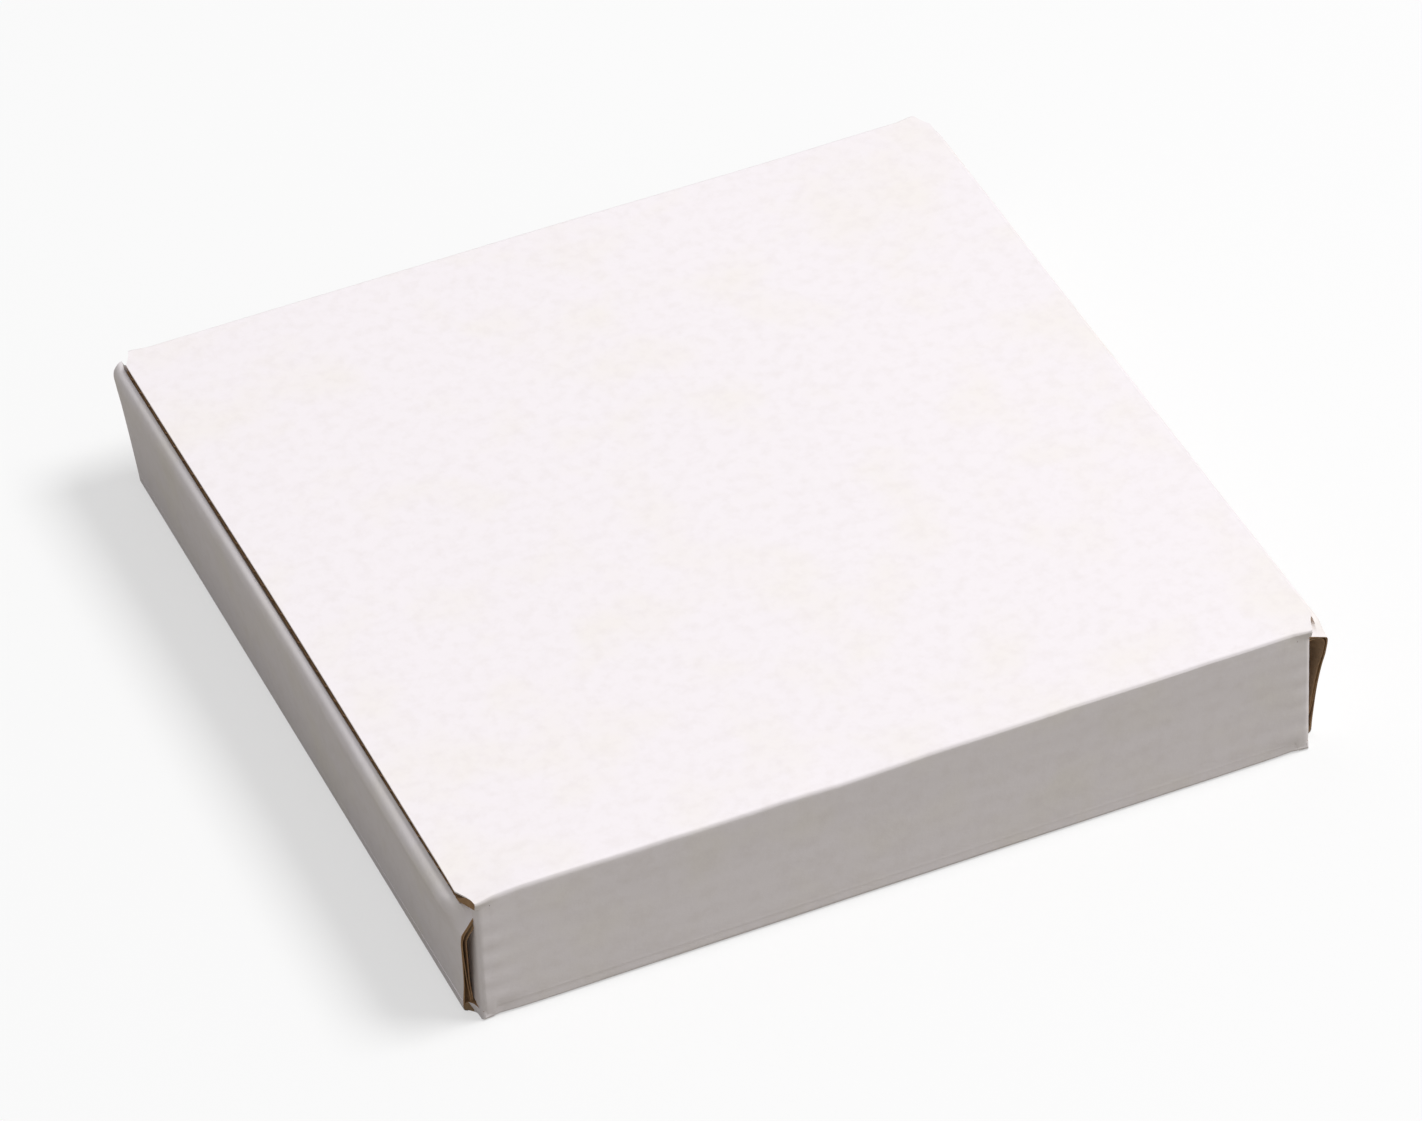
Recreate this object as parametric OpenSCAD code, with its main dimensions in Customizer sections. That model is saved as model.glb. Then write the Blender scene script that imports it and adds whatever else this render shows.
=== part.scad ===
// Straight tuck end box of white-faced E-flute corrugated board, closed and empty.
// The tube of the box runs along X, the bottom lies on z = 0 and the origin is at its middle.

/* [Inside of the box] */
// Clear width between the two side panels
inside_w = 127; // [60:1:250]
// Clear height between the bottom and top panels
inside_h = 19.05; // [16:0.05:40]
// Length of the top panel from cut edge to cut edge
panel_l = 127; // [90:1:250]

/* [Board] */
// Thickness of the corrugated board
board_t = 1.55; // [1:0.05:3]
// Thickness of each liner of the board
liner_t = 0.25; // [0.2:0.05:0.4]
// Thickness of the fluted medium between the liners
medium_t = 0.22; // [0.15:0.01:0.4]
// Distance from one flute to the next
flute_pitch = 3.4; // [2.5:0.1:5]
// Width of the glue line between a flute's crest and a liner
glue_line = 0.8; // [0.4:0.1:1.5]
// Outer radius of the four long folds of the tube
long_fold_r = 1.8; // [1.6:0.1:4]
// Outer radius of the upright folds of the dust flaps
dust_fold_r = 2.2; // [2:0.1:4]

/* [Dust flaps] */
// Length of a dust flap from the outside of its side panel to its free edge
dust_l = 45; // [20:1:58]
// Distance from a cut end of the top panel back to the face of the dust flaps
dust_setback = 1.5; // [1:0.1:3]
// Depth of the open flutes at the free edge of a dust flap
dust_flute_l = 8; // [2:1:12]
// How much a dust flap narrows at each edge from its root to its free end
dust_taper = 1.6; // [0:0.1:4]
// Radius of the two free corners of a dust flap
dust_corner_r = 3; // [1:0.5:7]

/* [End flaps] */
// How far the side edges of an end panel stay inside the side panels
end_inset = 0.8; // [0.2:0.1:3]
// Outward lean of a closed end panel, in degrees
end_lean = 3.5; // [0:0.5:6]
// Outer radius of the rolled fold between an end panel and its tuck
tuck_fold_r = 2.4; // [1.8:0.1:4]
// Reach of a tuck into the box, measured from its hinge line
tuck_l = 13; // [6:0.5:20]
// Depth of the open flutes at the leading edge of a tuck
tuck_flute_l = 2.5; // [1:0.5:3]
// Depth of the hollow between the liners at the side edges of an end panel
edge_hollow = 0.9; // [0.3:0.1:2]
// Narrowing of a tuck at each side, from its shoulder to its leading edge
tuck_taper = 4; // [0:0.5:10]
// Radius of the two leading corners of a tuck
tuck_corner_r = 6; // [2:0.5:10]
// Radius of the ridge that stands up outside the top panel's cut end
ridge_r = 1.25; // [1:0.05:1.5]
// Length over which the ridge slopes down to each side edge of an end panel
ridge_end = 6; // [2:0.5:12]

/* [Corners and seam] */
// Length of the corner cuts of the top and bottom panels, along X
notch_x = 1.8; // [0.5:0.1:4]
// Width of the corner cuts of the top and bottom panels, along Y
notch_y = 3; // [1:0.1:6]
// Width of the glue flap inside the far side panel
glue_w = 14; // [6:0.5:18]
// Length that the glue flap loses at each end
glue_end = 8; // [2:0.5:20]
// Distance that the glue flap stays back from the folds of the dust flaps
glue_setback = 1; // [0.5:0.5:10]

/* [Clearances] */
// Play at the hinge line between the bottom panel and an end panel
hinge_gap = 0.05; // [0.02:0.01:0.2]
// Play between the crease of an end panel and the dust flaps
crease_gap = 0.1; // [0.05:0.05:0.3]
// Play between an end flap and the cut edges that it closes past
edge_gap = 0.15; // [0.1:0.05:0.3]
// Room at each side of a tuck where it passes over the dust flaps
shoulder_gap = 0.5; // [0.3:0.1:2]
// Play between a tuck and the top panel
tuck_gap = 0.2; // [0.1:0.05:0.5]
// Play between a tuck and the upper edges of the dust flaps
dust_gap = 0.2; // [0.1:0.05:0.5]

/* [Hidden] */
$fn = 64;
white_face = [0.96, 0.94, 0.945];
outer_w = inside_w + 2 * board_t;
outer_h = inside_h + 2 * board_t;
long_inner_r = long_fold_r - board_t;
dust_inner_r = dust_fold_r - board_t;
// Outer face of the dust flaps, and the point that their folds turn about
dust_x = panel_l / 2 - dust_setback;
dust_turn_x = dust_x - dust_fold_r;
dust_turn_y = outer_w / 2 - dust_fold_r;
// Length by which a cut runs past the face that it opens
over = 1;
// Length by which the parts of one sheet lap where they join
join = 0.05;
// How much thinner the round edge at a hinge line is than half the board
nose_ease = 0.02;
// Hinge line of an end flap, at mid-thickness of the bottom panel
hinge_x = dust_x + crease_gap + board_t / 2;
hinge_z = board_t / 2;
nose_r = board_t / 2 - nose_ease;
// The tuck is bent on a circle round the hinge line, so it swings out under the top panel
tuck_r = outer_h - board_t - hinge_z - tuck_gap;
tuck_inner_r = tuck_r - board_t;
fold_turn_u = board_t / 2 - tuck_fold_r;
fold_turn_v = sqrt(pow(tuck_r - tuck_fold_r, 2) - pow(fold_turn_u, 2));
fold_turn_angle = atan2(fold_turn_v, fold_turn_u);
tuck_end_angle = 90 + end_lean + asin(tuck_l / tuck_r);
// Leading edge of the tuck in a plan of the end flap, a little past its outer corner
tuck_lead_u = tuck_r * cos(tuck_end_angle) - over;
// Room that the top panel's cut end needs, seen from the hinge line
top_edge_u = panel_l / 2 - hinge_x + edge_gap;
// Upper edge of the dust flaps, under the swing of the tuck
dust_top = hinge_z + sqrt(pow(tuck_inner_r - dust_gap, 2) - pow(hinge_x - dust_x + board_t, 2));
dust_bottom = board_t + dust_gap;
fold_bottom = long_fold_r;
fold_top = outer_h - long_fold_r;
end_half_w = outer_w / 2 - end_inset;
// Inner face of the far side panel, where the glue flap is glued
seam_y = outer_w / 2 - board_t;
seam_gap = 0.05;
// Angle of the bottom panel's far fold over which the far side panel is glued to it
seam_angle = 14;
// Half width of a tuck where it passes over the dust flaps
shoulder_half_w = dust_turn_y - (fold_top - dust_top) - shoulder_gap;
// Line where the full width of an end flap stops, just outside the dust flaps
shoulder_u = (dust_x - hinge_x + edge_gap - tuck_r * sin(end_lean)) / cos(end_lean);
// Angle by which neighbouring arcs of a section lap, so that they join
lap_angle = 2;
far = 400;

// Points of an arc about c, from angle a0 to angle a1
function arc(c, r, a0, a1, steps = 8) =
    [for (i = [0:steps]) let (a = a0 + (a1 - a0) * i / steps) c + r * [cos(a), sin(a)]];

// Part of a ring about the origin between two angles, less than a half turn apart
module ring_sector(r_in, r_out, a0, a1) {
    intersection() {
        difference() {
            circle(r_out);
            circle(r_in);
        }
        polygon(concat([[0, 0]], arc([0, 0], 2 * r_out, a0, a1, 4)));
    }
}

// Section of the hollow under one flute, with the mid-thickness of the board on y = 0
module flute_void() {
    half = (flute_pitch - glue_line) / 2;
    rise = board_t / 2 - liner_t - medium_t / 2;
    polygon(concat(
        [for (k = [-3:3]) let (x = half * k / 3) [x, medium_t / 2 - rise * cos(360 * x / flute_pitch)]],
        [[half, board_t / 2 - liner_t], [-half, board_t / 2 - liner_t]]
    ));
}

// Sections of the hollows above and below the medium, across a given width of board
module flute_voids(width) {
    count = floor(width / flute_pitch);
    for (i = [0:count - 1]) translate([(i - count / 2) * flute_pitch, 0]) {
        translate([flute_pitch / 4, 0]) flute_void();
        translate([flute_pitch * 3 / 4, 0]) mirror([0, 1]) flute_void();
    }
}

// Section of the tube across X: Y is drawn along x and Z along y
module tube_section() {
    w = outer_w / 2;
    r = long_fold_r;
    ri = long_inner_r;
    difference() {
        polygon(concat(
            arc([-w + r, r], r, 270, 180),
            arc([-w + r, outer_h - r], r, 180, 90),
            arc([w - r, outer_h - r], r, 90, 0),
            [[w, seam_gap], [seam_y + seam_gap, seam_gap]],
            arc([seam_y - r, r], r, -seam_angle, -90)
        ));
        polygon(concat(
            arc([-w + r, r], ri, 270, 180),
            arc([-w + r, outer_h - r], ri, 180, 90),
            arc([w - r, outer_h - r], ri, 90, 0),
            [[seam_y, r], [seam_y - board_t, r]],
            arc([seam_y - r, r], ri, 0, -90)
        ));
    }
}

// A length of the tube, centred
module tube_length(l) {
    rotate([90, 0, 90]) linear_extrude(l, center = true) tube_section();
}

// Outline of the top or bottom panel from above, with its four corner cuts
module panel_plan(half_l) {
    w = outer_w / 2;
    polygon([
        [half_l, w - notch_y], [half_l - notch_x, w], [notch_x - half_l, w], [-half_l, w - notch_y],
        [-half_l, notch_y - w], [notch_x - half_l, -w], [half_l - notch_x, -w], [half_l, notch_y - w]
    ]);
}

// Glue flap, bent up from the bottom panel and glued inside the far side panel
module glue_flap() {
    half_l = dust_turn_x - glue_setback;
    top = board_t + glue_w;
    translate([0, seam_y, 0]) rotate([90, 0, 0]) linear_extrude(board_t)
        polygon([
            [-half_l, long_fold_r - join], [half_l, long_fold_r - join],
            [half_l - glue_end, top], [glue_end - half_l, top]
        ]);
}

// Upright turn at one corner, from the side panel into the dust flap
module dust_fold() {
    translate([dust_turn_x, dust_turn_y, fold_bottom])
        linear_extrude(fold_top - fold_bottom)
            ring_sector(dust_inner_r, dust_fold_r, 0, 90);
}

// One dust flap, folded in behind the end panel
module dust_flap() {
    root = dust_turn_y;
    tip = outer_w / 2 - dust_l;
    slope = fold_top - dust_top;
    low = dust_bottom + dust_taper;
    high = dust_top - dust_taper;
    r = dust_corner_r;
    difference() {
        translate([dust_x - board_t, 0, 0]) rotate([90, 0, 90]) linear_extrude(board_t)
            polygon(concat(
                [[root, fold_bottom], [root, fold_top], [root - slope, dust_top]],
                arc([tip + r, high - r], r, 90, 180),
                arc([tip + r, low + r], r, 180, 270),
                [[root - slope, dust_bottom]]
            ));
        translate([dust_x - board_t / 2, tip - over, (low + high) / 2]) rotate([0, -90, -90])
            linear_extrude(dust_flute_l + over) flute_voids(high - low - r);
    }
}

// Round edge of the bottom panel that an end flap turns on
module hinge_nose() {
    translate([hinge_x, 0, hinge_z]) rotate([90, 0, 0])
        cylinder(h = outer_w - 2 * notch_y, r = nose_r, center = true);
}

// Flutes of the top panel, open at both of its cut ends
module top_flutes() {
    translate([0, 0, outer_h - board_t / 2]) rotate([90, 0, 90])
        linear_extrude(panel_l + 2 * over, center = true) flute_voids(outer_w - 2 * long_fold_r);
}

// The folded blank: four panels round the tube, glue flap and four dust flaps
module tube() {
    color(white_face) difference() {
        tube_board();
        top_flutes();
    }
}

// The folded blank before its flutes are opened
module tube_board() {
    union() {
        tube_length(2 * dust_turn_x);
        intersection() {
            tube_length(panel_l);
            translate([0, 0, outer_h - board_t]) linear_extrude(board_t) panel_plan(panel_l / 2);
        }
        intersection() {
            tube_length(2 * hinge_x);
            linear_extrude(board_t) panel_plan(hinge_x);
        }
        glue_flap();
        for (end = [0, 1]) mirror([end, 0, 0]) {
            hinge_nose();
            for (side = [0, 1]) mirror([0, side, 0]) {
                dust_fold();
                dust_flap();
            }
        }
    }
}

// Section of an end flap seen along Y, upright, with the hinge line at the origin.
// With a trim it is the section of what lies between the liners.
module end_flap_section(trim = 0) {
    difference() {
        translate([trim - board_t / 2, 0]) square([board_t - 2 * trim, fold_turn_v]);
        hinge_relief();
    }
    translate([fold_turn_u, fold_turn_v])
        ring_sector(tuck_fold_r - board_t + trim, tuck_fold_r - trim, -lap_angle, fold_turn_angle + lap_angle);
    ring_sector(tuck_inner_r + trim, tuck_r - trim, fold_turn_angle, tuck_end_angle);
}

// Hollows between the liners at both side edges, from above the crease up to the shoulders
module end_flap_edge_hollows() {
    difference() {
        rotate([90, 0, 0]) linear_extrude(outer_w, center = true) intersection() {
            end_flap_section(liner_t);
            translate([shoulder_u + liner_t, notch_y]) square([far, far]);
        }
        rotate([90, 0, 90]) linear_extrude(far, center = true) end_flap_front(edge_hollow);
    }
}

// Open flutes of a tuck's leading edge
module tuck_flutes() {
    mid_r = tuck_r - board_t / 2;
    translate([mid_r * cos(tuck_end_angle), 0, mid_r * sin(tuck_end_angle)])
        rotate([0, 90 - tuck_end_angle, 0]) rotate([90, 0, 90]) translate([0, 0, -over])
            linear_extrude(tuck_flute_l + over) flute_voids(2 * (shoulder_half_w - tuck_taper - tuck_corner_r));
}

// Room round the hinge line: a square shoulder on the inside and a hollow on the outside
module hinge_relief() {
    r = board_t / 2 + hinge_gap;
    circle(r);
    translate([-board_t, 0]) square([board_t, r]);
}

// Ridge of board that stands up outside the top panel's cut end, in the same view
module ridge_section() {
    difference() {
        union() {
            translate([board_t / 2 - ridge_r, tuck_r]) circle(ridge_r);
            translate([-board_t / 2, fold_turn_v]) square([board_t, tuck_r - fold_turn_v]);
        }
        rotate(end_lean) translate([top_edge_u - far, tuck_r]) square([far, far]);
    }
}

// The ridge of board, which slopes down to nothing at both side edges
module ridge() {
    crest = tuck_r + ridge_r + join;
    intersection() {
        rotate([90, 0, 0]) linear_extrude(2 * end_half_w, center = true) ridge_section();
        rotate([90, 0, 90]) linear_extrude(far, center = true) polygon([
            [-end_half_w, 0], [-end_half_w, fold_turn_v], [ridge_end - end_half_w, crest],
            [end_half_w - ridge_end, crest], [end_half_w, fold_turn_v], [end_half_w, 0]
        ]);
    }
}

// Outline of an end flap from above: full width at the panel, then the shoulders and the tuck
module end_flap_plan() {
    r = tuck_corner_r;
    lead_half_w = shoulder_half_w - tuck_taper;
    polygon(concat(
        [[far, -end_half_w], [far, end_half_w], [shoulder_u, end_half_w], [shoulder_u, shoulder_half_w]],
        arc([tuck_lead_u + r, lead_half_w - r], r, 90, 180),
        arc([tuck_lead_u + r, r - lead_half_w], r, 180, 270),
        [[shoulder_u, -shoulder_half_w], [shoulder_u, -end_half_w]]
    ));
}

// Outline of an end flap from the front: it widens from the crease, which is as wide as the
// bottom panel between its corner cuts, up to the rolled fold. An inset draws it narrower.
module end_flap_front(inset = 0) {
    low_half_w = outer_w / 2 - notch_y - inset;
    high_half_w = end_half_w - inset;
    top = 2 * outer_h;
    polygon([
        [-low_half_w, 0], [-high_half_w, fold_turn_v], [-high_half_w, top],
        [high_half_w, top], [high_half_w, fold_turn_v], [low_half_w, 0]
    ]);
}

// The end flap of the right-hand end: end panel, rolled fold and tuck in one piece
module end_flap() {
    color(white_face) translate([hinge_x, 0, hinge_z]) rotate([0, end_lean, 0]) difference() {
        union() {
            intersection() {
                rotate([90, 0, 0]) linear_extrude(outer_w, center = true) end_flap_section();
                linear_extrude(2 * outer_h) end_flap_plan();
                rotate([90, 0, 90]) linear_extrude(far, center = true) end_flap_front();
            }
            ridge();
        }
        end_flap_edge_hollows();
        tuck_flutes();
    }
}

module right_end_flap() {
    end_flap();
}

module left_end_flap() {
    mirror([1, 0, 0]) end_flap();
}

tube();
left_end_flap();
right_end_flap();
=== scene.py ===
import math

import bmesh
import bpy
import numpy as np
from mathutils import Matrix, Vector


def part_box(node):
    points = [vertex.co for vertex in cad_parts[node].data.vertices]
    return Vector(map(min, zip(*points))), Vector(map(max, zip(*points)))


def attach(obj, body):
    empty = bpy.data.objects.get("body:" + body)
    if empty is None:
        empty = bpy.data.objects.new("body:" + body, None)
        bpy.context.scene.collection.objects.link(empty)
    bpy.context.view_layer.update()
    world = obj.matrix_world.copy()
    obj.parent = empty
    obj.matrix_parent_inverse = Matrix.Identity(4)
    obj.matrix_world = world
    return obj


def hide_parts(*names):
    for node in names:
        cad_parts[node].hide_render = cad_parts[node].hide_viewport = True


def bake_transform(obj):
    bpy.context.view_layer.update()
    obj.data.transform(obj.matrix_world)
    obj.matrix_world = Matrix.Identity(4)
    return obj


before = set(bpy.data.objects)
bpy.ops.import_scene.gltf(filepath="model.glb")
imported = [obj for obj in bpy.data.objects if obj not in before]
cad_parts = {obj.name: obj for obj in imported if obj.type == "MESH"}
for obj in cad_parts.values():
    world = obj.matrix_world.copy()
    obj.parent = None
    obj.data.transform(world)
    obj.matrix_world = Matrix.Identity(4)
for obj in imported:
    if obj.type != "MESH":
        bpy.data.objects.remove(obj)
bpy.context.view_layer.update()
MM = 0.001

# The photograph's camera.
# It looks down on the box past its near side and left end, from over a metre away with a long lens.
# The lens is scaled from the photograph's focal length, which is measured in its own pixels.
PHOTO_WIDTH_PX = 1422
PHOTO_FOCAL_PX = 7873
SENSOR_WIDTH_MM = 36.0
CAMERA_AZIMUTH = -21.66
CAMERA_ELEVATION = 40.16
CAMERA_ROLL = -3.11
CAMERA_DISTANCE = 1109.4 * MM
CAMERA_AIM = Vector((-1.0, -3.0, 11.0)) * MM

camera_data = bpy.data.cameras.new("camera")
camera_data.sensor_width = SENSOR_WIDTH_MM
camera_data.lens = PHOTO_FOCAL_PX * SENSOR_WIDTH_MM / PHOTO_WIDTH_PX
camera_data.clip_start = 0.01
camera_data.clip_end = 20.0
camera = bpy.data.objects.new("camera", camera_data)
bpy.context.scene.collection.objects.link(camera)
turn = math.radians(CAMERA_AZIMUTH)
rise = math.radians(CAMERA_ELEVATION)
towards_camera = Vector((
    math.sin(turn) * math.cos(rise),
    -math.cos(turn) * math.cos(rise),
    math.sin(rise),
))
camera.rotation_mode = "QUATERNION"
camera.location = CAMERA_AIM + towards_camera * CAMERA_DISTANCE
roll = Matrix.Rotation(math.radians(CAMERA_ROLL), 3, towards_camera)
look = (-towards_camera).to_track_quat("-Z", "Y").to_matrix()
camera.rotation_quaternion = (roll @ look).to_quaternion()
bpy.context.scene.camera = camera


def linear(code):
    """A hex colour, as seen on a screen, in Blender's linear values."""
    parts = [int(code[i:i + 2], 16) / 255 for i in (0, 2, 4)]
    return tuple(p / 12.92 if p <= 0.04045 else ((p + 0.055) / 1.055) ** 2.4 for p in parts)


def add(tree, kind, links=None, **settings):
    """Adds a node, sets its properties and inputs by name, and links sockets into its inputs."""
    node = tree.nodes.new(kind)
    for key, value in settings.items():
        if hasattr(node, key):
            setattr(node, key, value)
        else:
            node.inputs[key.replace("_", " ")].default_value = value
    for key, source in (links or {}).items():
        if isinstance(source, bpy.types.NodeSocket):
            tree.links.new(source, node.inputs[key])
        else:
            node.inputs[key].default_value = source
    return node


# Floor and light.
# The floor is matt white paper: a camera sees it nearly white, with the box's soft shadow.
# A broad lamp high on the right, a little in front, lights the top and leaves both walls in shade.
FLOOR_SEEN = linear("FAFAFA")
FLOOR_BOUNCE = linear("979388")
FLOOR_GLOW = 0.55
FLOOR_HALF_WIDTH = 3.0
# The floor lies a hair under the box, so the two faces don't share one plane
FLOOR_LEVEL = -0.02 * MM
KEY_STRENGTH = 0.64
KEY_SIZE = 1.2
KEY_DISTANCE = 3.2
KEY_AZIMUTH = -17.0
KEY_ELEVATION = 60.0
SKY_STRENGTH = 0.41

floor_mesh = bpy.data.meshes.new("floor")
w = FLOOR_HALF_WIDTH
floor_corners = [(a, b, FLOOR_LEVEL) for a, b in ((-w, -w), (w, -w), (w, w), (-w, w))]
floor_mesh.from_pydata(floor_corners, [], [(0, 1, 2, 3)])
floor = bpy.data.objects.new("floor", floor_mesh)
bpy.context.scene.collection.objects.link(floor)
paper = bpy.data.materials.new("white_floor_paper")
paper.use_nodes = True
tree = paper.node_tree
tree.nodes.clear()
path = add(tree, "ShaderNodeLightPath")
matt_seen = add(tree, "ShaderNodeBsdfDiffuse", {"Color": (*FLOOR_SEEN, 1)})
glow = add(tree, "ShaderNodeEmission", {"Color": (*FLOOR_SEEN, 1)})
seen = add(tree, "ShaderNodeMixShader", {0: FLOOR_GLOW, 1: matt_seen.outputs[0], 2: glow.outputs[0]})
matt_bounce = add(tree, "ShaderNodeBsdfDiffuse", {"Color": (*FLOOR_BOUNCE, 1)})
either = add(tree, "ShaderNodeMixShader",
             {0: path.outputs["Is Camera Ray"], 1: matt_bounce.outputs[0], 2: seen.outputs[0]})
add(tree, "ShaderNodeOutputMaterial", {"Surface": either.outputs[0]})
floor_mesh.materials.append(paper)

world = bpy.data.worlds.new("studio")
world.use_nodes = True
bpy.context.scene.world = world
tree = world.node_tree
sky = tree.nodes["Background"]
path = add(tree, "ShaderNodeLightPath")
seen = add(tree, "ShaderNodeMath", {0: path.outputs["Is Camera Ray"], 1: path.outputs["Is Glossy Ray"]},
           operation="MAXIMUM")
level = add(tree, "ShaderNodeMapRange", {"Value": seen.outputs[0], "To Min": SKY_STRENGTH, "To Max": 1.0})
tree.links.new(level.outputs["Result"], sky.inputs["Strength"])
sky.inputs["Color"].default_value = (1, 1, 1, 1)

key_rise = math.radians(KEY_ELEVATION)
key_turn = math.radians(KEY_AZIMUTH)
key_place = KEY_DISTANCE * Vector((
    math.cos(key_turn) * math.cos(key_rise),
    math.sin(key_turn) * math.cos(key_rise),
    math.sin(key_rise),
))
key_data = bpy.data.lights.new("key", "AREA")
key_data.shape = "SQUARE"
key_data.size = KEY_SIZE
key_data.energy = KEY_STRENGTH / math.sin(key_rise) * (math.pi * KEY_DISTANCE) ** 2
key = bpy.data.objects.new("key", key_data)
bpy.context.scene.collection.objects.link(key)
key.location = key_place
key.rotation_mode = "QUATERNION"
key.rotation_quaternion = (-key_place).to_track_quat("-Z", "Y")

bpy.context.scene.view_settings.view_transform = "Standard"

# The board.
# E-flute corrugated: a bleached white liner outside, a brown kraft liner inside, and a brown
# fluted medium glued between them, which shows wherever the die has cut the blank.
BOARD_T = 1.55
LINER_T = 0.25
MEDIUM_T = 0.22
FLUTE_PITCH = 3.4
WHITE_PAPER = "F5EFF2"
WHITE_PAPER_WARM = "F4EEEB"
WHITE_PAPER_THIN = "E6DEDD"
KRAFT_PAPER = "A78C70"
KRAFT_FIBRE = "846A4F"
CUT_PAPER = "AC8A67"
CUT_FIBRE = "846347"
# Edges that turn by more degrees than this stay crisp, such as a cut edge
SHARP_ANGLE = 34.0


def noise(tree, place, size_mm, detail=2.0, roughness=0.5, along=1.0):
    """A noise with blotches about size_mm across, and longer along X where along is above one."""
    scale = 1 / (size_mm * MM)
    spread = add(tree, "ShaderNodeMapping", {"Vector": place, "Scale": (scale / along, scale, scale)})
    return add(tree, "ShaderNodeTexNoise", {"Vector": spread.outputs[0]},
               Scale=1.0, Detail=detail, Roughness=roughness).outputs[0]


def part_of(tree, value, low, high, most):
    """Zero where value is below low, rising to most where it is above high."""
    return add(tree, "ShaderNodeMapRange",
               {"Value": value, "From Min": low, "From Max": high, "To Min": 0.0, "To Max": most}).outputs[0]


def mixed(tree, share, first, second):
    """One colour laid over another by share. A colour is a socket or a hex code."""
    ends = [c if isinstance(c, bpy.types.NodeSocket) else (*linear(c), 1) for c in (first, second)]
    return add(tree, "ShaderNodeMix", {0: share, 6: ends[0], 7: ends[1]}, data_type="RGBA").outputs[2]


def scaled(tree, value, by):
    """A value times a number."""
    return add(tree, "ShaderNodeMath", {0: value, 1: by}, operation="MULTIPLY").outputs[0]


def paper_material(name, roughness, specular):
    """An empty paper: its tree, shader and Object coordinates."""
    material = bpy.data.materials.new(name)
    material.use_nodes = True
    tree = material.node_tree
    shader = tree.nodes["Principled BSDF"]
    shader.inputs["Roughness"].default_value = roughness
    shader.inputs["Specular IOR Level"].default_value = specular
    return material, tree, shader, add(tree, "ShaderNodeTexCoord").outputs["Object"]


def relief(tree, shader, heights):
    """Bump from heights in millimetres, each a value and its depth."""
    total = None
    for value, depth in heights:
        part = scaled(tree, value, depth)
        total = part if total is None else add(tree, "ShaderNodeMath", {0: total, 1: part}).outputs[0]
    bump = add(tree, "ShaderNodeBump", {"Height": total, "Distance": MM})
    tree.links.new(bump.outputs[0], shader.inputs["Normal"])


def white_liner():
    """Bleached kraft with a thin clay wash, calendered: matt-satin and slightly blotched, where
    the pulp under the wash shows through. The flutes just tell as bands in a low light."""
    material, tree, shader, place = paper_material("bleached_white_liner", 0.62, 0.4)
    cloud = noise(tree, place, 13.0, detail=3.0)
    blotch = noise(tree, place, 2.2, detail=3.0, roughness=0.6)
    fibre = noise(tree, place, 0.3, roughness=0.7, along=2.5)
    warm = mixed(tree, part_of(tree, cloud, 0.48, 0.7, 0.9), WHITE_PAPER, WHITE_PAPER_WARM)
    thin = mixed(tree, part_of(tree, blotch, 0.45, 0.85, 0.45), warm, WHITE_PAPER_THIN)
    tree.links.new(thin, shader.inputs["Base Color"])
    across = add(tree, "ShaderNodeAttribute", attribute_name="across_flutes").outputs["Fac"]
    turns = scaled(tree, across, 2 * math.pi / FLUTE_PITCH)
    bands = add(tree, "ShaderNodeMath", {0: turns}, operation="SINE").outputs[0]
    relief(tree, shader, [(blotch, 0.03), (fibre, 0.012), (bands, 0.005)])
    return material


def brown_paper(name, paper, fibre_colour, deep):
    """Unbleached kraft: rough and matt, with darker long fibres lying along the web."""
    material, tree, shader, place = paper_material(name, 0.85, 0.25)
    blotch = noise(tree, place, 1.5, detail=3.0, roughness=0.6)
    fibre = noise(tree, place, 0.25, roughness=0.7, along=4.0)
    toned = mixed(tree, part_of(tree, blotch, 0.4, 0.75, 0.5), paper, fibre_colour)
    streaked = mixed(tree, part_of(tree, fibre, 0.5, 0.75, 0.6), toned, fibre_colour)
    tree.links.new(streaked, shader.inputs["Base Color"])
    relief(tree, shader, [(blotch, 0.02), (fibre, deep)])
    return material


WHITE, BROWN, CUT = range(3)
papers = [
    white_liner(),
    brown_paper("kraft_liner", KRAFT_PAPER, KRAFT_FIBRE, 0.02),
    brown_paper("cut_board_edge", CUT_PAPER, CUT_FIBRE, 0.05),
]


def ease(value):
    """Zero below 0, one above 1, and a smooth step between."""
    held = np.clip(value, 0, 1)
    return held * held * (3 - 2 * held)


def shade_board(mesh):
    """Smooth shading, with crisp cut edges."""
    mesh.shade_smooth()
    mesh.set_sharp_from_angle(angle=math.radians(SHARP_ANGLE))


def board_piece(name, points, faces, kinds, across):
    """A piece of board from points in mm, with its papers by face and its place across the flutes."""
    mesh = bpy.data.meshes.new(name)
    mesh.from_pydata([tuple(p) for p in np.asarray(points) * MM], [], faces)
    for paper_used in papers:
        mesh.materials.append(paper_used)
    mesh.polygons.foreach_set("material_index", np.asarray(kinds, np.int32))
    place = mesh.attributes.new("across_flutes", "FLOAT", "POINT")
    place.data.foreach_set("value", np.asarray(across, np.float32))
    shade_board(mesh)
    piece = bpy.data.objects.new(name, mesh)
    bpy.context.scene.collection.objects.link(piece)
    return piece


# The tube.
# The blank's four panels folded into a flat sleeve and glued inside the far side, with the four
# dust flaps turned in at its ends. Creasing leaves it a little bowed, dented and rippled.
LONG_FOLD_R = 1.8
DUST_FOLD_R = 2.2
tube_high = np.array(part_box("tube")[1]) / MM
HALF_W = tube_high[1]
HEIGHT = tube_high[2]
PANEL_END = 63.5
DUST_X = 62.0
dust_turn = np.array([DUST_X - DUST_FOLD_R, HALF_W - DUST_FOLD_R])
# The grid that the flat panels are cut into so that they can bend, and the finer one up the walls
CELL = 4.2
FINE_CELL = 0.85
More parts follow.
